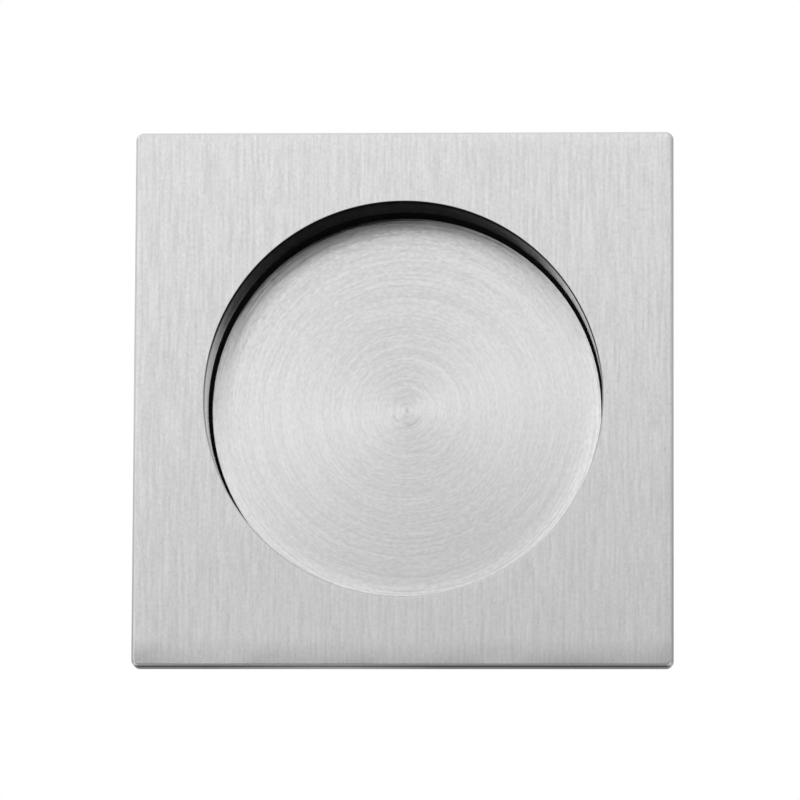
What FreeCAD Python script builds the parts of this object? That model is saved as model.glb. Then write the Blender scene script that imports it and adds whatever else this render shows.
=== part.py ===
"""Pocket door pull: a square face plate with a round finger recess.

Frame: the front faces -Y and +Z is up. The origin is the centre of the plate's back face, which lies on
the door, so the plate stands in front of Y = 0 and the cup reaches behind it into the bored door.
All sizes are in millimetres.
"""
import FreeCAD
import Part
import Sketcher
import math
import os
import sys

SHEET = "dimensions"

# Driving dimensions: alias, value and what it measures. A depth is taken from the plate's front face.
DIMENSIONS = (
    ("plate_side", 55.0, "side of the square face plate"),
    ("plate_thickness", 2.0, "thickness of the face plate"),
    ("plate_corner_radius", 0.8, "rounding of the plate's four corners"),
    ("plate_edge_radius", 0.35, "rounding of the plate's front edges"),
    ("plate_land", 7.23, "width of the plate beside the recess, where it is narrowest"),
    ("recess_rim_radius", 0.15, "rounding of the recess's front rim"),
    ("lip_length", 4.2, "how far the recess's steel wall reaches behind the plate"),
    ("floor_depth", 8.9, "depth of the recess down to the disc's face"),
    ("undercut", 0.6, "how much the recess widens behind its steel wall"),
    ("spigot_length", 1.0, "how far the cup's spigot enters the collar"),
    ("spigot_wall", 0.5, "wall of the cup's spigot"),
    ("spigot_clearance", 0.05, "clearance of the spigot in the collar's socket, all round"),
    ("socket_wall", 0.83, "wall of the collar around the spigot"),
    ("disc_gap", 0.16, "how far the disc's edge lies inside the line of the steel wall"),
    ("disc_thickness", 1.5, "thickness of the floor disc"),
    ("disc_edge_break", 0.1, "chamfer of the disc's front edge"),
    ("disc_seat_depth", 0.5, "how deep the disc lies in its seat in the cup"),
    ("disc_seat_clearance", 0.05, "radial clearance of the disc in its seat"),
    ("cup_floor_thickness", 1.5, "thickness of the cup's floor behind the disc"),
    ("cup_back_radius", 0.8, "rounding of the cup's back edge"),
)

# Radii, as expressions of the driving dimensions.
RECESS_RADIUS = f"{SHEET}.plate_side / 2 - {SHEET}.plate_land"
DISC_RADIUS = f"{RECESS_RADIUS} - {SHEET}.disc_gap"
SEAT_RADIUS = f"{DISC_RADIUS} + {SHEET}.disc_seat_clearance"
CUP_BORE_RADIUS = f"{RECESS_RADIUS} + {SHEET}.undercut"
SPIGOT_RADIUS = f"{CUP_BORE_RADIUS} + {SHEET}.spigot_wall"
SOCKET_RADIUS = f"{SPIGOT_RADIUS} + {SHEET}.spigot_clearance"
COLLAR_RADIUS = f"{SOCKET_RADIUS} + {SHEET}.socket_wall"

# Places along Y, as expressions of the driving dimensions.
PLATE_FRONT = f"-{SHEET}.plate_thickness"
LIP_END = f"{SHEET}.lip_length"
SPIGOT_FRONT = f"{LIP_END} + {SHEET}.spigot_clearance"
COLLAR_END = f"{SPIGOT_FRONT} + {SHEET}.spigot_length"
DISC_FRONT = f"{SHEET}.floor_depth - {SHEET}.plate_thickness"
DISC_BACK = f"{DISC_FRONT} + {SHEET}.disc_thickness"
CUP_FLOOR = f"{DISC_BACK} - {SHEET}.disc_seat_depth"
CUP_BACK = f"{DISC_BACK} + {SHEET}.cup_floor_thickness"

# Marks a corner of a turned profile that lies on the recess's axis, or on the plane Y = 0.
AXIS = "axis"
BASE = "base"

# Two lengths closer than this are taken as equal when an edge is looked for.
MATCH = 1e-4


def fill_sheet(doc):
    """Write the driving dimensions into the document's spreadsheet."""
    sheet = doc.addObject("Spreadsheet::Sheet", SHEET)
    for row, (alias, value, meaning) in enumerate(DIMENSIONS, start=1):
        sheet.set(f"A{row}", meaning)
        sheet.set(f"B{row}", str(value))
        sheet.setAlias(f"B{row}", alias)
    doc.recompute()
    return sheet


def add_body(doc, name):
    """Start a sub-part: a body whose label is its node's name."""
    body = doc.addObject("PartDesign::Body", name)
    body.Label = name
    return body


def add_sketch(body, name, role):
    """Start a sketch on one of the body's own origin planes."""
    sketch = body.newObject("Sketcher::SketchObject", name)
    plane = next(item for item in body.Origin.OriginFeatures if item.Role == role)
    sketch.AttachmentSupport = [(plane, "")]
    sketch.MapMode = "FlatFace"
    return sketch


def bind(sketch, constraint, name, expression):
    """Add a constraint and let an expression of the sheet drive it."""
    index = sketch.addConstraint(constraint)
    sketch.renameConstraint(index, name)
    sketch.setExpression(f"Constraints.{name}", expression)


def add_loop(sketch, corners):
    """Join the corners by a closed run of lines."""
    count = len(corners)
    for index, corner in enumerate(corners):
        sketch.addGeometry(Part.LineSegment(corner, corners[(index + 1) % count]))
    for index in range(count):
        sketch.addConstraint(Sketcher.Constraint("Coincident", index, 2, (index + 1) % count, 1))


def square_sketch(body, name, side):
    """A square about the origin on the plane that faces the front, its sides level and upright."""
    sketch = add_sketch(body, name, "XZ_Plane")
    add_loop(sketch, [FreeCAD.Vector(x, y, 0) for x, y in ((-1, -1), (1, -1), (1, 1), (-1, 1))])
    for index, direction in enumerate(("Horizontal", "Vertical", "Horizontal", "Vertical")):
        sketch.addConstraint(Sketcher.Constraint(direction, index))
    sketch.addConstraint(Sketcher.Constraint("Equal", 0, 1))
    sketch.addConstraint(Sketcher.Constraint("Symmetric", 0, 1, 2, 1, -1, 1))
    bind(sketch, Sketcher.Constraint("Distance", 0, 2.0), "side", side)
    return sketch


def circle_sketch(body, name, radius):
    """A circle about the recess's axis on the plane that faces the front."""
    sketch = add_sketch(body, name, "XZ_Plane")
    centre = FreeCAD.Vector(0, 0, 0)
    axis = FreeCAD.Vector(0, 0, 1)
    sketch.addGeometry(Part.Circle(centre, axis, 1.0))
    sketch.addConstraint(Sketcher.Constraint("Coincident", 0, 3, -1, 1))
    bind(sketch, Sketcher.Constraint("Radius", 0, 1.0), "radius", radius)
    return sketch


def turned_sketch(body, name, corners):
    """Half section of a turned form. Each corner is a radius and a place along Y, and each line between
    two corners keeps one of them. The lines start as a regular polygon and the constraints pull them
    into place."""
    sketch = add_sketch(body, name, "XY_Plane")
    count = len(corners)
    turns = [2 * math.pi * index / count for index in range(count)]
    add_loop(sketch, [FreeCAD.Vector(math.cos(turn), math.sin(turn), 0) for turn in turns])
    for index, (radius, place) in enumerate(corners):
        keeps_radius = radius == corners[(index + 1) % count][0]
        sketch.addConstraint(Sketcher.Constraint("Vertical" if keeps_radius else "Horizontal", index))
        if keeps_radius and radius == AXIS:
            sketch.addConstraint(Sketcher.Constraint("PointOnObject", index, 1, -2))
        elif keeps_radius:
            constraint = Sketcher.Constraint("DistanceX", -1, 1, index, 1, 1.0)
            bind(sketch, constraint, f"radius_{index}", radius)
        elif place == BASE:
            sketch.addConstraint(Sketcher.Constraint("PointOnObject", index, 1, -1))
        else:
            constraint = Sketcher.Constraint("DistanceY", -1, 1, index, 1, 1.0)
            bind(sketch, constraint, f"place_{index}", place)
    return sketch


def add_pad(body, name, sketch, length, backwards=False):
    """Extrude a sketch towards the front, or backwards into the door."""
    pad = body.newObject("PartDesign::Pad", name)
    pad.Profile = sketch
    pad.setExpression("Length", length)
    pad.Reversed = backwards
    body.Document.recompute()
    return pad


def turn(body, kind, name, sketch):
    """Turn a half section about the recess's axis, to add it (Revolution) or cut it (Groove)."""
    feature = body.newObject(f"PartDesign::{kind}", name)
    feature.Profile = sketch
    feature.ReferenceAxis = (sketch, ["V_Axis"])
    feature.Angle = 360.0
    body.Document.recompute()
    return feature


def dress(body, kind, name, base, edges, size):
    """Round (Fillet) or bevel (Chamfer) the named edges of a feature by a size of the sheet."""
    feature = body.newObject(f"PartDesign::{kind}", name)
    feature.Base = (base, edges)
    feature.setExpression("Radius" if kind == "Fillet" else "Size", size)
    body.Document.recompute()
    return feature


def edge_names(shape, wanted):
    """Names of the edges that a test picks."""
    return [f"Edge{number}" for number, edge in enumerate(shape.Edges, start=1) if wanted(edge)]


def lies_at(edge, place):
    """True where the whole edge lies in the plane Y = place."""
    box = edge.BoundBox
    return abs(box.YMin - place) < MATCH and abs(box.YMax - place) < MATCH


def make_face_plate(doc, sheet):
    """Square plate and collar in one piece. The recess's steel wall is the collar's lip, and behind it
    the collar widens into the socket that takes the cup's spigot."""
    body = add_body(doc, "face_plate")
    outline = square_sketch(body, "plate_outline", f"{SHEET}.plate_side")
    plate = add_pad(body, "plate", outline, f"{SHEET}.plate_thickness")
    front = -float(sheet.plate_thickness)

    upright = edge_names(plate.Shape, lambda edge: edge.BoundBox.YLength > MATCH)
    corners = dress(body, "Fillet", "corners", plate, upright, f"{SHEET}.plate_corner_radius")
    outer = edge_names(corners.Shape, lambda edge: lies_at(edge, front))
    dress(body, "Fillet", "front_edges", corners, outer, f"{SHEET}.plate_edge_radius")

    add_pad(body, "collar", circle_sketch(body, "collar_outline", COLLAR_RADIUS), COLLAR_END, True)

    section = turned_sketch(body, "recess_section", (
        (AXIS, PLATE_FRONT),
        (RECESS_RADIUS, PLATE_FRONT),
        (RECESS_RADIUS, LIP_END),
        (SOCKET_RADIUS, LIP_END),
        (SOCKET_RADIUS, COLLAR_END),
        (AXIS, COLLAR_END),
    ))
    recess = turn(body, "Groove", "recess", section)

    rim = edge_names(recess.Shape, lambda edge: edge.isClosed() and lies_at(edge, front))
    dress(body, "Fillet", "recess_rim", recess, rim, f"{SHEET}.recess_rim_radius")
    return body


def make_cup(doc):
    """Round cup that closes the recess behind the collar. Its spigot locates it in the collar's socket,
    its shoulder seats on the collar's end, and its floor holds the disc."""
    body = add_body(doc, "cup")
    section = turned_sketch(body, "cup_section", (
        (AXIS, CUP_BACK),
        (COLLAR_RADIUS, CUP_BACK),
        (COLLAR_RADIUS, COLLAR_END),
        (SPIGOT_RADIUS, COLLAR_END),
        (SPIGOT_RADIUS, SPIGOT_FRONT),
        (CUP_BORE_RADIUS, SPIGOT_FRONT),
        (CUP_BORE_RADIUS, CUP_FLOOR),
        (SEAT_RADIUS, CUP_FLOOR),
        (SEAT_RADIUS, DISC_BACK),
        (AXIS, DISC_BACK),
    ))
    shell = turn(body, "Revolution", "shell", section)
    back = shell.Shape.BoundBox.YMax
    back_ring = edge_names(shell.Shape, lambda edge: lies_at(edge, back))
    dress(body, "Fillet", "back_edge", shell, back_ring, f"{SHEET}.cup_back_radius")
    return body


def make_floor_disc(doc):
    """Turned disc: the floor of the recess, its edge free all round."""
    body = add_body(doc, "floor_disc")
    section = turned_sketch(body, "disc_section", (
        (AXIS, BASE),
        (DISC_RADIUS, BASE),
        (DISC_RADIUS, f"{SHEET}.disc_thickness"),
        (AXIS, f"{SHEET}.disc_thickness"),
    ))
    disc = turn(body, "Revolution", "disc", section)
    front_ring = edge_names(disc.Shape, lambda edge: lies_at(edge, 0.0))
    dress(body, "Chamfer", "edge_break", disc, front_ring, f"{SHEET}.disc_edge_break")
    body.setExpression(".Placement.Base.y", DISC_FRONT)
    doc.recompute()
    return body


def check(doc, bodies):
    """Stop if an object of the document failed or a sub-part's shape is unsound."""
    for item in doc.Objects:
        if "Invalid" in item.State or "Error" in item.State:
            sys.exit(f"{item.Label} failed: {item.State}")
    for body in bodies:
        if body.Shape.isNull() or not body.Shape.isValid() or len(body.Shape.Solids) != 1:
            sys.exit(f"{body.Label} is not one sound solid")


def main():
    doc = FreeCAD.newDocument("pocket_door_pull")
    sheet = fill_sheet(doc)
    bodies = [make_face_plate(doc, sheet), make_cup(doc), make_floor_disc(doc)]
    doc.recompute()
    check(doc, bodies)
    os.makedirs("parts", exist_ok=True)
    for body in bodies:
        body.Shape.exportStep(f"parts/{body.Label}.step")
        box = body.Shape.optimalBoundingBox(False)
        print(f"{body.Label}: {box.XLength:.2f} x {box.YLength:.2f} x {box.ZLength:.2f} mm, "
              f"Y {box.YMin:.2f} to {box.YMax:.2f}, {body.Shape.Volume:.1f} mm3")


main()
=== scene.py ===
"""Looks of the pocket door pull: brushed square plate, turned floor disc and dark cup, on plain white.

Metres, in the part's frame: the front faces -Y, +Z is up, and the plate's back lies in the plane Y = 0.
"""
import math

import bpy
from mathutils import Matrix, Vector


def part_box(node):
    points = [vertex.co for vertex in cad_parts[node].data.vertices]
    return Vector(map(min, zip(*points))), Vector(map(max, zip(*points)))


MM = 0.001
WHITE = (1.0, 1.0, 1.0, 1.0)

# Camera: below the pull and a little to its right, far off with a long lens.
CAMERA_AZIMUTH = math.radians(2.45)
CAMERA_ELEVATION = math.radians(-8.33)
CAMERA_ROLL = math.radians(0.28)
CAMERA_DISTANCE = 780 * MM
CAMERA_AIM_X = -0.32 * MM
CAMERA_AIM_Z = -0.18 * MM
CLIP_START = 0.01
CLIP_END = 20.0
SENSOR_WIDTH = 36.0
LENS = 344.9

# Studio as the metal mirrors it: white all round, but unlit in front below the lights, and a little dimmer
# above and to the right. Heights are sines of elevation, and sides are shares of the way ahead or sines.
UNLIT_LEVEL = 0.003
UNLIT_LOW = -0.034
UNLIT_HIGH = 0.081
DIM_LEVEL = 0.46
BRIGHT_LOW = 0.075
BRIGHT_HIGH = 0.205
UNLIT_SLANT = 0.37
UNLIT_SIDE = 0.45
UNLIT_SIDE_SOFT = 0.20
STUDIO_LEVEL = 1.025
RIGHT_START, RIGHT_END, RIGHT_LEVEL = -0.08, 0.0, 0.95
ABOVE_START, ABOVE_END, ABOVE_LEVEL = 0.19, 0.27, 0.92
ASIDE_START, ASIDE_END, ASIDE_LEVEL = 0.15, 0.60, 0.72
DIFFUSE_LEVEL = 0.65

# Floor, with the borders of its unlit parts and of its fading, and the key light.
FLOOR_HEIGHT = -0.16
FLOOR_SIZE = 4.0
FLOOR_GREY = 0.8
FRONT_BORDER = (-0.32, -0.14)
UNDER_BORDER = (0.03, 0.13)
UNDER_SHARE = 0.85
FADE_BORDER = (0.15, 1.1)
LEAST_AHEAD = 0.001
KEY_POWER = 7.0
KEY_SIZE = 1.3
KEY_PLACE = Vector((-0.75, -0.55, 0.85))

# Radii and edges of the part that the finishes follow.
PLATE_HALF = 27.5 * MM
PLATE_FRONT = -2.0 * MM
RECESS_RADIUS = 20.27 * MM
DISC_RADIUS = 20.11 * MM

# Tool marks: how many to a metre across and along them, and their weight. Their sum stays within the reach.
BRUSH_MARKS = ((2900.0, 150.0, 0.75), (3700.0, 600.0, 0.5), (3500.0, 2600.0, 0.6))
TURNING_MARKS = ((3400.0, 50.0, 0.6), (3600.0, 400.0, 0.35), (3500.0, 2000.0, 0.85))
MARK_REACH = 0.25
MARK_DEPTH = 1.2e-6
FLECK_SCALE = 4200.0
FLECK_SHARE = (0.66, 0.78)
FLECK_DARK = 0.08

# Plate: pairs of numbers are greys or roughnesses at both ends of a range, or the range's places.
PLATE_GREY = (0.757, 0.908)
PLATE_ROUGHNESS = (0.34, 0.28)
PLATE_ANISOTROPY = 0.75
FLAT_NORMAL = (0.6, 0.9)
WALL_BORDER = (RECESS_RADIUS + 0.3 * MM, RECESS_RADIUS + 0.5 * MM)
# Painted light and shade on the recess wall: its colour is raised low down and darkened in its upper part.
WALL_PAINTED_LIGHT_AND_SHADE = (1.14, 0.49)
WALL_PAINTED_SHADE_TINT = 0.78
WALL_POLISH = -0.20
WALL_MARK_DEPTH = 0.3e-6
WALL_SHADE_SLANT = 0.15
WALL_SHADE_HEIGHTS = (9.3 * MM, 13.3 * MM)
# A line of painted shade along the recess wall's lip, in its upper part.
LIP_SLANT = 0.3
LIP_HEIGHTS = (10.0 * MM, 13.5 * MM)
LIP_BORDER = (PLATE_FRONT + 1.0 * MM, PLATE_FRONT + 0.7 * MM)
LIP_PAINTED_SHADE = 0.5
LIP_PAINTED_SHADE_TINT = 0.42
# Painted shade on the recess rim: slight at the bottom, nearly black at the top.
RIM_OUTER_BORDER = (RECESS_RADIUS + 0.16 * MM, RECESS_RADIUS + 0.10 * MM)
RIM_INNER_BORDER = (PLATE_FRONT + 0.30 * MM, PLATE_FRONT + 0.14 * MM)
RIM_HEIGHTS = (-8.0 * MM, 7.0 * MM)
RIM_PAINTED_SHADE = (0.80, 0.05)
# Painted shade on the plate's rounded edges and sides: paler at the top, darker downwards, darkest along the
# foot.
EDGE_BORDER = (PLATE_HALF - 0.31 * MM, PLATE_HALF - 0.14 * MM)
EDGE_PAINTED_SHADE = (0.70, 0.50)
EDGE_PAINTED_SHADE_TOP = 0.90
TOP_BORDER = (PLATE_HALF - 1.0 * MM, PLATE_HALF - 0.5 * MM)
FOOT_BORDER = (0.35 * MM - PLATE_HALF, 0.05 * MM - PLATE_HALF)
FOOT_PAINTED_SHADE = 0.28
FOOT_PALE_X = -8.0 * MM
FOOT_PALE_REACH = (2.0 * MM, 12.0 * MM)

# Plate's slight forms, for the bump: crowns and falls are in metres for each square metre.
CROWN_ACROSS = -0.24
CROWN_UP = -0.18
FALL_WIDTH = (1.7 * MM, 0.2 * MM)
FOOT_WIDTH = (3.0 * MM, 0.2 * MM)
FOOT_SHARE_X = (-26.0 * MM, -20.0 * MM)
FOOT_SHARE = (0.65, 0.45)
FALL_SCALE = 110.0
FALL_NOISE = (0.35, 0.65)
FALL_RATE = (-7.0, -15.0)

# Disc: its greys, painted shade on its lower rim, the dot and arcs in its middle, and its crown and dished
# rim for the bump. The crown is in metres for each square metre, and the dish for each cubic metre.
DISC_GREY = (0.803, 0.915)
DISC_ROUGHNESS = (0.155, 0.130)
DISC_ANISOTROPY = 0.90
DISC_CROWN = -0.10
# Painted shade on the disc's lower rim, darker towards the bottom.
LOWER_RIM_SHADE_BORDER = (DISC_RADIUS - 1.8 * MM, DISC_RADIUS - 0.4 * MM)
LOWER_RIM_SHADE_HEIGHTS = (-5.0 * MM, -14.0 * MM)
LOWER_RIM_PAINTED_SHADE = 0.08
ARC_RADIUS = 1.5 * MM
ARC_BORDER = (0.06 * MM, 0.26 * MM)
ARC_TOP = -0.6 * MM
ARC_SCALE = 900.0
ARC_NOISE = (0.42, 0.55)
DOT_BORDER = (0.10 * MM, 0.24 * MM)
DOT_DARK = 0.13
DISH_WIDTH = 3.0 * MM
DISH_POWER = 3.0
DISH_BLOTCHES = (1200.0, 250.0)
DISH_BLOTCH_NOISE = (0.3, 0.7)
DISH_RATE = (2300.0, 2800.0)
DISH_CUTS = (3000.0, 70.0)
DISH_CUT_NOISE = (0.25, 0.75)
DISH_CUT_RATE = 820.0

# Cup.
CUP_GREY = (0.006, 0.010)
CUP_ROUGHNESS = (0.48, 0.66)
CUP_NOISE = (0.3, 0.7)
CUP_GRAIN_SCALE = 3500.0
CUP_CLOUD_SCALE = 120.0
CUP_GRAIN_DEPTH = 1.2e-5


class Graph:
    """Short forms for the nodes that the materials and the world are built from."""

    def __init__(self, tree):
        self.tree = tree
        tree.nodes.clear()

    def add(self, kind, **settings):
        node = self.tree.nodes.new(kind)
        for name, value in settings.items():
            setattr(node, name, value)
        return node

    def feed(self, socket, value):
        """Link a socket or set a constant."""
        if isinstance(value, bpy.types.NodeSocket):
            self.tree.links.new(value, socket)
        else:
            socket.default_value = value

    def math(self, operation, *values):
        node = self.add("ShaderNodeMath", operation=operation)
        for socket, value in zip(node.inputs, values):
            self.feed(socket, value)
        return node.outputs[0]

    def plus(self, first, second):
        return self.math("ADD", first, second)

    def minus(self, first, second):
        return self.math("SUBTRACT", first, second)

    def times(self, first, second):
        return self.math("MULTIPLY", first, second)

    def larger(self, first, second):
        return self.math("MAXIMUM", first, second)

    def size(self, value):
        return self.math("ABSOLUTE", value)

    def square(self, value):
        return self.times(value, value)

    def length(self, first, second):
        return self.math("SQRT", self.plus(self.square(first), self.square(second)))

    def darkened(self, colour, share):
        """The colour with a share of it taken away."""
        return self.times(colour, self.minus(1.0, share))

    def ramp(self, value, low, high, to_low=0.0, to_high=1.0, smooth=False):
        """Map a value from one range to another, held at both ends."""
        node = self.add("ShaderNodeMapRange", clamp=True)
        node.interpolation_type = "SMOOTHSTEP" if smooth else "LINEAR"
        for name, number in (("Value", value), ("From Min", low), ("From Max", high),
                             ("To Min", to_low), ("To Max", to_high)):
            self.feed(node.inputs[name], number)
        return node.outputs["Result"]

    def parted(self, vector):
        """The three parts of a vector."""
        split = self.add("ShaderNodeSeparateXYZ")
        self.feed(split.inputs[0], vector)
        return tuple(split.outputs)

    def place(self):
        """The point's place in the part's frame, as x, y and z."""
        return self.parted(self.add("ShaderNodeTexCoord").outputs["Object"])

    def normal(self):
        """The surface's direction in the part's frame, as x, y and z."""
        return self.parted(self.add("ShaderNodeTexCoord").outputs["Normal"])

    def vector(self, x, y, z):
        node = self.add("ShaderNodeCombineXYZ")
        for socket, value in zip(node.inputs, (x, y, z)):
            self.feed(socket, value)
        return node.outputs[0]

    def scaled(self, vector, scale):
        node = self.add("ShaderNodeVectorMath", operation="SCALE")
        self.feed(node.inputs[0], vector)
        node.inputs["Scale"].default_value = scale
        return node.outputs[0]

    def stretched(self, vector, across, along):
        """The vector with its first part scaled across the marks, and the others along them."""
        node = self.add("ShaderNodeVectorMath", operation="MULTIPLY")
        self.feed(node.inputs[0], vector)
        node.inputs[1].default_value = (across, along, along)
        return node.outputs[0]

    def blend(self, share, first, second):
        """Vector between two vectors, by the share of the second."""
        node = self.add("ShaderNodeMix", data_type="VECTOR")
        for socket, value in zip((node.inputs[0], node.inputs[4], node.inputs[5]), (share, first, second)):
            self.feed(socket, value)
        return node.outputs[1]

    def noise(self, vector, detail=2.0):
        node = self.add("ShaderNodeTexNoise")
        self.feed(node.inputs["Vector"], vector)
        node.inputs["Scale"].default_value = 1.0
        node.inputs["Detail"].default_value = detail
        node.inputs["Roughness"].default_value = 0.5
        return node.outputs["Fac"]

    def marks(self, vector, parts):
        """Tool marks around zero: noises of several lengths, each with its own scales and weight."""
        total = 0.0
        for across, along, weight in parts:
            value = self.noise(self.stretched(vector, across, along), detail=1.0)
            total = self.plus(total, self.times(self.minus(value, 0.5), weight))
        return total

    def flecks(self, point):
        """Tiny dark pits, 1 where there is one."""
        return self.ramp(self.noise(self.scaled(point, FLECK_SCALE), detail=1.0), *FLECK_SHARE)

    def grey(self, value):
        node = self.add("ShaderNodeCombineColor")
        for socket in node.inputs:
            self.feed(socket, value)
        return node.outputs[0]

    def raise_surface(self, shader, height):
        """Bump on a shader, from a height in metres."""
        bump = self.add("ShaderNodeBump")
        bump.inputs["Strength"].default_value = 1.0
        bump.inputs["Distance"].default_value = 1.0
        self.feed(bump.inputs["Height"], height)
        self.feed(shader.inputs["Normal"], bump.outputs[0])

    def finish(self, kind, shader):
        """Link a shader to an output node of the given kind."""
        self.feed(self.add(kind).inputs[0], shader.outputs[0])


def new_material(name):
    """Empty material and the graph of its nodes."""
    material = bpy.data.materials.new(name)
    material.use_nodes = True
    return material, Graph(material.node_tree)


def finish_metal(graph, colour, roughness, anisotropy, tangent, height, edge_tint=1.0):
    """Metal surface from its parts, to the material's output.

    The height is in metres. The edge tint darkens the metal where it is seen almost along its surface.
    """
    shader = graph.add("ShaderNodeBsdfPrincipled")
    shader.inputs["Metallic"].default_value = 1.0
    shader.inputs["Anisotropic"].default_value = anisotropy
    graph.feed(shader.inputs["Base Color"], graph.grey(colour))
    graph.feed(shader.inputs["Specular Tint"], graph.grey(edge_tint))
    graph.feed(shader.inputs["Roughness"], roughness)
    graph.feed(shader.inputs["Tangent"], tangent)
    graph.raise_surface(shader, height)
    graph.finish("ShaderNodeOutputMaterial", shader)


def edge_painted_shade(graph, x, z):
    """Painted shade on the plate's rounded edge and sides: pale at the top, darker downwards, with a darker
    foot.
    """
    foot_painted_shade = graph.ramp(graph.size(graph.minus(x, FOOT_PALE_X)), *FOOT_PALE_REACH, 0.0, FOOT_PAINTED_SHADE)
    grey = graph.minus(graph.ramp(z, 0.0, -PLATE_HALF * 0.9, *EDGE_PAINTED_SHADE),
                       graph.ramp(z, *FOOT_BORDER, 0.0, foot_painted_shade))
    return graph.larger(grey, graph.ramp(z, *TOP_BORDER, 0.0, EDGE_PAINTED_SHADE_TOP))


def painted_wall_shades(graph, point, wall):
    """Where shade is painted on the recess wall: the heights of its upper part, and the line along its lip
    there.
    """
    x, y, z = point
    above = graph.ramp(graph.minus(z, graph.times(x, WALL_SHADE_SLANT)), *WALL_SHADE_HEIGHTS)
    lip = graph.ramp(graph.minus(z, graph.times(x, LIP_SLANT)), *LIP_HEIGHTS)
    return above, graph.times(graph.times(wall, lip), graph.ramp(y, *LIP_BORDER))


def plate_colour(graph, point, streaks, wall, rim, above, lip):
    """Brushed grey; painted shade on the edges, recess rim, lip and upper wall; painted light on the lower
    wall.
    """
    x, y, z = point
    colour = graph.ramp(streaks, -MARK_REACH, MARK_REACH, *PLATE_GREY)
    colour = graph.minus(colour, graph.times(graph.flecks(graph.vector(x, y, z)), FLECK_DARK))

    # Painted shade on the rounded edges and sides.
    edge = graph.ramp(graph.larger(graph.size(x), graph.size(z)), *EDGE_BORDER)
    colour = graph.darkened(colour, graph.times(edge, graph.minus(1.0, edge_painted_shade(graph, x, z))))

    # Painted light low on the recess wall, and painted shade on its upper part.
    wall_painted_light_and_shade = graph.ramp(above, 0.0, 1.0, *WALL_PAINTED_LIGHT_AND_SHADE)
    colour = graph.times(colour, graph.ramp(wall, 0.0, 1.0, 1.0, wall_painted_light_and_shade))
    # Painted shade along the lip of the recess wall.
    colour = graph.times(colour, graph.ramp(lip, 0.0, 1.0, 1.0, LIP_PAINTED_SHADE))

    # Painted shade on the recess rim, darkest at the top.
    rim_painted_shade = graph.ramp(z, *RIM_HEIGHTS, *RIM_PAINTED_SHADE)
    return graph.darkened(colour, graph.times(rim, graph.minus(1.0, rim_painted_shade)))


def plate_height(graph, point, streaks, wall):
    """The plate's crown, its fall towards the edges and the foot, and its brush lines, for the bump."""
    x, y, z = point
    crown = graph.plus(graph.times(graph.square(x), CROWN_ACROSS), graph.times(graph.square(z), CROWN_UP))
    fall = graph.ramp(graph.larger(graph.size(x), z), PLATE_HALF - FALL_WIDTH[0], PLATE_HALF - FALL_WIDTH[1],
                      0.0, FALL_WIDTH[0] - FALL_WIDTH[1])
    foot = graph.ramp(z, FOOT_WIDTH[0] - PLATE_HALF, FOOT_WIDTH[1] - PLATE_HALF,
                      0.0, FOOT_WIDTH[0] - FOOT_WIDTH[1])
    foot = graph.times(graph.square(foot), graph.ramp(x, *FOOT_SHARE_X, *FOOT_SHARE))
    rate = graph.ramp(graph.noise(graph.scaled(graph.vector(x, y, z), FALL_SCALE)), *FALL_NOISE, *FALL_RATE)
    fall = graph.times(graph.plus(graph.square(fall), foot), rate)
    relief = graph.times(streaks, graph.ramp(wall, 0.0, 1.0, MARK_DEPTH, WALL_MARK_DEPTH))
    return graph.plus(graph.plus(fall, crown), relief)


def brushed_plate():
    """Satin steel: upright brush lines on the flat faces, turning marks on the recess wall and the collar."""
    material, graph = new_material("brushed_plate")
    x, y, z = graph.place()
    flat = graph.ramp(graph.size(graph.normal()[1]), *FLAT_NORMAL)
    radius = graph.length(x, z)
    wall = graph.times(graph.minus(1.0, flat), graph.ramp(radius, *WALL_BORDER, 1.0, 0.0))
    rim = graph.times(graph.ramp(radius, *RIM_OUTER_BORDER), graph.ramp(y, *RIM_INNER_BORDER))

    # Brush lines run up the flat faces, and round or along every other surface.
    streaks = graph.marks(graph.blend(flat, graph.vector(y, x, z), graph.vector(x, 0.0, z)), BRUSH_MARKS)
    tangent = graph.blend(flat, graph.vector(0.0, 1.0, 0.0), graph.vector(1.0, 0.0, 0.0))

    polish = graph.times(wall, graph.minus(1.0, rim))
    roughness = graph.plus(graph.ramp(streaks, -MARK_REACH, MARK_REACH, *PLATE_ROUGHNESS),
                           graph.ramp(polish, 0.0, 1.0, 0.0, WALL_POLISH))
    above, lip = painted_wall_shades(graph, (x, y, z), wall)
    colour = plate_colour(graph, (x, y, z), streaks, wall, rim, above, lip)
    height = plate_height(graph, (x, y, z), streaks, wall)
    # The edge tint carries painted shade too, on the recess wall's upper part and along its lip.
    edge_tint = graph.times(graph.ramp(graph.times(wall, above), 0.0, 1.0, 1.0, WALL_PAINTED_SHADE_TINT),
                            graph.ramp(lip, 0.0, 1.0, 1.0, LIP_PAINTED_SHADE_TINT))
    finish_metal(graph, colour, roughness, PLATE_ANISOTROPY, tangent, height, edge_tint)
    return material


def centre_marks(graph, radius, point):
    """The dot that the turning tool leaves in the disc's middle, and the faint arcs below it."""
    x, y, z = point
    patch = graph.ramp(graph.noise(graph.scaled(graph.vector(x, y, z), ARC_SCALE)), *ARC_NOISE)
    arcs = graph.ramp(graph.size(graph.minus(radius, ARC_RADIUS)), *ARC_BORDER, 1.0, 0.0)
    arcs = graph.times(graph.times(arcs, patch), graph.ramp(z, 0.0, ARC_TOP))
    return graph.larger(arcs, graph.ramp(radius, *DOT_BORDER, 1.0, 0.0))


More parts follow.
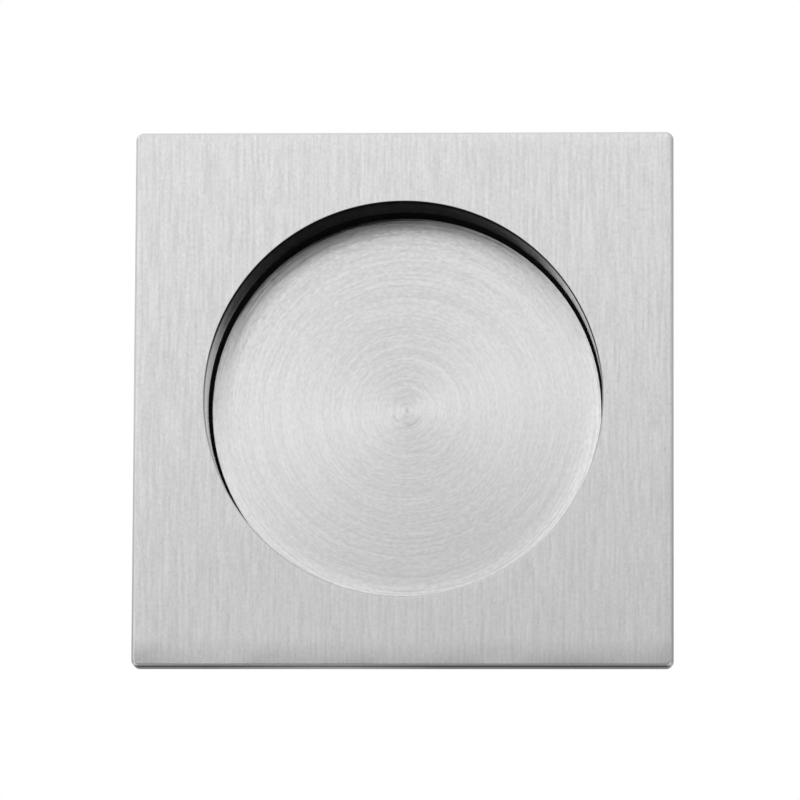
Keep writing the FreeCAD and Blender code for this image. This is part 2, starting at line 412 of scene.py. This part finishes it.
def dished_rim(graph, radius, x, z):
    """Height that the disc's rim rises by: a cubic curve with blotches and cuts of the turning tool."""
    across = graph.vector(radius, x, z)
    rise = graph.ramp(radius, DISC_RADIUS - DISH_WIDTH, DISC_RADIUS, 0.0, DISH_WIDTH)
    blotch = graph.noise(graph.stretched(across, *DISH_BLOTCHES))
    cuts = graph.noise(graph.stretched(across, *DISH_CUTS), detail=1.0)
    rate = graph.plus(graph.ramp(blotch, *DISH_BLOTCH_NOISE, *DISH_RATE),
                      graph.ramp(cuts, *DISH_CUT_NOISE, 0.0, DISH_CUT_RATE))
    return graph.times(graph.math("POWER", rise, DISH_POWER), rate)


def turned_disc():
    """Satin steel with fine round turning marks, crowned by a hair and dished at its rim."""
    material, graph = new_material("turned_disc")
    x, y, z = graph.place()
    radius = graph.length(x, z)
    marks = graph.marks(graph.vector(radius, x, z), TURNING_MARKS)
    colour = graph.ramp(marks, -MARK_REACH, MARK_REACH, *DISC_GREY)
    colour = graph.minus(colour, graph.times(graph.flecks(graph.vector(x, y, z)), FLECK_DARK))
    colour = graph.minus(colour, graph.times(centre_marks(graph, radius, (x, y, z)), DOT_DARK))
    # Painted shade: the disc's lower rim is darkened towards the bottom.
    lower_rim_shade = graph.times(graph.ramp(radius, *LOWER_RIM_SHADE_BORDER), graph.ramp(z, *LOWER_RIM_SHADE_HEIGHTS, 0.0, LOWER_RIM_PAINTED_SHADE))
    colour = graph.darkened(colour, lower_rim_shade)
    roughness = graph.ramp(marks, -MARK_REACH, MARK_REACH, *DISC_ROUGHNESS)
    crown = graph.times(graph.square(radius), DISC_CROWN)
    height = graph.plus(graph.plus(dished_rim(graph, radius, x, z), crown), graph.times(marks, MARK_DEPTH))
    finish_metal(graph, colour, roughness, DISC_ANISOTROPY, graph.vector(x, 0.0, z), height)
    return material


def dark_cup():
    """Matt black plastic with a fine moulded grain."""
    material, graph = new_material("cup_black")
    point = graph.vector(*graph.place())
    grain = graph.noise(graph.scaled(point, CUP_GRAIN_SCALE))
    cloud = graph.noise(graph.scaled(point, CUP_CLOUD_SCALE), detail=3.0)
    shader = graph.add("ShaderNodeBsdfPrincipled")
    graph.feed(shader.inputs["Base Color"], graph.grey(graph.ramp(cloud, *CUP_NOISE, *CUP_GREY)))
    graph.feed(shader.inputs["Roughness"], graph.ramp(grain, *CUP_NOISE, *CUP_ROUGHNESS))
    graph.raise_surface(shader, graph.times(grain, CUP_GRAIN_DEPTH))
    graph.finish("ShaderNodeOutputMaterial", shader)
    return material


def dress(node, material):
    """Give a CAD node its finish."""
    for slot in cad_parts[node].material_slots:
        slot.material = material


def set_camera(front):
    """Place the camera at the photograph's angle, looking at the plate's front."""
    away = Vector((
        math.cos(CAMERA_ELEVATION) * math.sin(CAMERA_AZIMUTH),
        -math.cos(CAMERA_ELEVATION) * math.cos(CAMERA_AZIMUTH),
        math.sin(CAMERA_ELEVATION),
    ))
    centre = Vector((0.0, front, 0.0))
    place = centre + away * CAMERA_DISTANCE
    aim = centre + Vector((CAMERA_AIM_X, 0.0, CAMERA_AIM_Z))
    back = (place - aim).normalized()
    right = Vector((0.0, 0.0, 1.0)).cross(back).normalized()
    up = back.cross(right)
    right_rolled = right * math.cos(CAMERA_ROLL) + up * math.sin(CAMERA_ROLL)
    up_rolled = up * math.cos(CAMERA_ROLL) - right * math.sin(CAMERA_ROLL)
    turn = Matrix((right_rolled, up_rolled, back)).transposed().to_4x4()
    data = bpy.data.cameras.new("camera")
    data.sensor_width = SENSOR_WIDTH
    data.lens = LENS
    data.clip_start = CLIP_START
    data.clip_end = CLIP_END
    camera = bpy.data.objects.new("camera", data)
    camera.matrix_world = Matrix.Translation(place) @ turn
    bpy.context.scene.collection.objects.link(camera)
    bpy.context.scene.camera = camera


def unlit_front(graph, across, along):
    """1 ahead of the pull, where the studio is unlit, falling off softly to both sides."""
    ahead = graph.larger(graph.times(along, -1.0), LEAST_AHEAD)
    aside = graph.math("DIVIDE", graph.size(across), ahead)
    return graph.ramp(aside, UNLIT_SIDE, UNLIT_SIDE + UNLIT_SIDE_SOFT, 1.0, 0.0, smooth=True)


def studio_floor():
    """Matt pale floor. In the metal it shows unlit ahead of the pull and under it, with soft borders."""
    material, graph = new_material("floor")
    x, y = graph.place()[:2]
    path = graph.add("ShaderNodeLightPath")
    away = graph.length(x, y)
    front = graph.times(unlit_front(graph, x, y), graph.ramp(y, *FRONT_BORDER, 1.0, 0.0, smooth=True))
    under = graph.ramp(away, *UNDER_BORDER, UNDER_SHARE, 0.0, smooth=True)
    unlit = graph.times(graph.larger(front, under), path.outputs["Is Glossy Ray"])
    near = graph.add("ShaderNodeBsdfDiffuse")
    graph.feed(near.inputs["Color"], graph.grey(graph.ramp(unlit, 0.0, 1.0, FLOOR_GREY, 0.0)))

    # To the camera it turns white with distance, like the background behind it.
    far = graph.add("ShaderNodeEmission")
    far.inputs["Color"].default_value = WHITE
    far.inputs["Strength"].default_value = 1.0
    mix = graph.add("ShaderNodeMixShader")
    fade = graph.ramp(away, *FADE_BORDER, smooth=True)
    graph.feed(mix.inputs[0], graph.times(fade, path.outputs["Is Camera Ray"]))
    graph.feed(mix.inputs[1], near.outputs[0])
    graph.feed(mix.inputs[2], far.outputs[0])
    graph.finish("ShaderNodeOutputMaterial", mix)
    return material


def set_world():
    """White background. The metal sees the studio, which is unlit in front below the lights."""
    world = bpy.data.worlds.new("studio")
    bpy.context.scene.world = world
    world.use_nodes = True
    graph = Graph(world.node_tree)
    across, along, up = graph.parted(graph.add("ShaderNodeTexCoord").outputs["Generated"])

    # The unlit part's border slants on the left. Above it the studio brightens in two steps.
    height = graph.minus(up, graph.times(graph.math("MINIMUM", across, 0.0), UNLIT_SLANT))
    dark = graph.plus(graph.ramp(height, UNLIT_LOW, UNLIT_HIGH, DIM_LEVEL - UNLIT_LEVEL, 0.0, smooth=True),
                      graph.ramp(height, BRIGHT_LOW, BRIGHT_HIGH, 1.0 - DIM_LEVEL, 0.0))
    studio = graph.darkened(1.0, graph.times(unlit_front(graph, across, along), dark))
    level = graph.times(
        graph.ramp(across, RIGHT_START, RIGHT_END, STUDIO_LEVEL, STUDIO_LEVEL * RIGHT_LEVEL),
        graph.ramp(up, ABOVE_START, ABOVE_END, 1.0, ABOVE_LEVEL),
    )
    level = graph.times(level, graph.ramp(across, ASIDE_START, ASIDE_END, 1.0, ASIDE_LEVEL))

    # Camera and transmission rays get plain white, glossy ones the studio, and all others an even level.
    path = graph.add("ShaderNodeLightPath")
    glossy = path.outputs["Is Glossy Ray"]
    white = graph.larger(path.outputs["Is Camera Ray"], path.outputs["Is Transmission Ray"])
    strength = graph.larger(graph.times(glossy, graph.times(studio, level)), white)
    other = graph.minus(1.0, graph.larger(glossy, white))
    background = graph.add("ShaderNodeBackground")
    background.inputs["Color"].default_value = WHITE
    graph.feed(background.inputs["Strength"], graph.plus(strength, graph.times(other, DIFFUSE_LEVEL)))
    graph.finish("ShaderNodeOutputWorld", background)


def set_floor():
    """Square floor under the pull, which is no part of it."""
    half = FLOOR_SIZE / 2
    corners = [(x * half, y * half, FLOOR_HEIGHT) for x, y in ((-1, -1), (1, -1), (1, 1), (-1, 1))]
    mesh = bpy.data.meshes.new("floor")
    mesh.from_pydata(corners, [], [(0, 1, 2, 3)])
    mesh.materials.append(studio_floor())
    sheet = bpy.data.objects.new("floor", mesh)
    bpy.context.scene.collection.objects.link(sheet)


def set_key_light():
    """Large soft light above on the left. The metal doesn't mirror it."""
    light = bpy.data.lights.new("key", "AREA")
    light.energy = KEY_POWER
    light.shape = "DISK"
    light.size = KEY_SIZE
    key = bpy.data.objects.new("key", light)
    key.matrix_world = Matrix.Translation(KEY_PLACE) @ KEY_PLACE.to_track_quat("Z", "Y").to_matrix().to_4x4()
    key.visible_glossy = False
    bpy.context.scene.collection.objects.link(key)


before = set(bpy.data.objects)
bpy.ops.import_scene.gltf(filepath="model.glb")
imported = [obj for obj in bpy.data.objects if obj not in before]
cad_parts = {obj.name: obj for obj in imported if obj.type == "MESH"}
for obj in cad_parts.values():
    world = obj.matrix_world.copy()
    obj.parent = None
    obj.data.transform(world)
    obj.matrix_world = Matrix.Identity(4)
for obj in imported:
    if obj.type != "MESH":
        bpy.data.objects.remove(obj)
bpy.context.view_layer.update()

bpy.context.scene.view_settings.view_transform = "Standard"
plate_low, plate_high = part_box("face_plate")
set_camera(plate_low.y)
set_world()
set_floor()
set_key_light()

dress("face_plate", brushed_plate())
dress("floor_disc", turned_disc())
dress("cup", dark_cup())
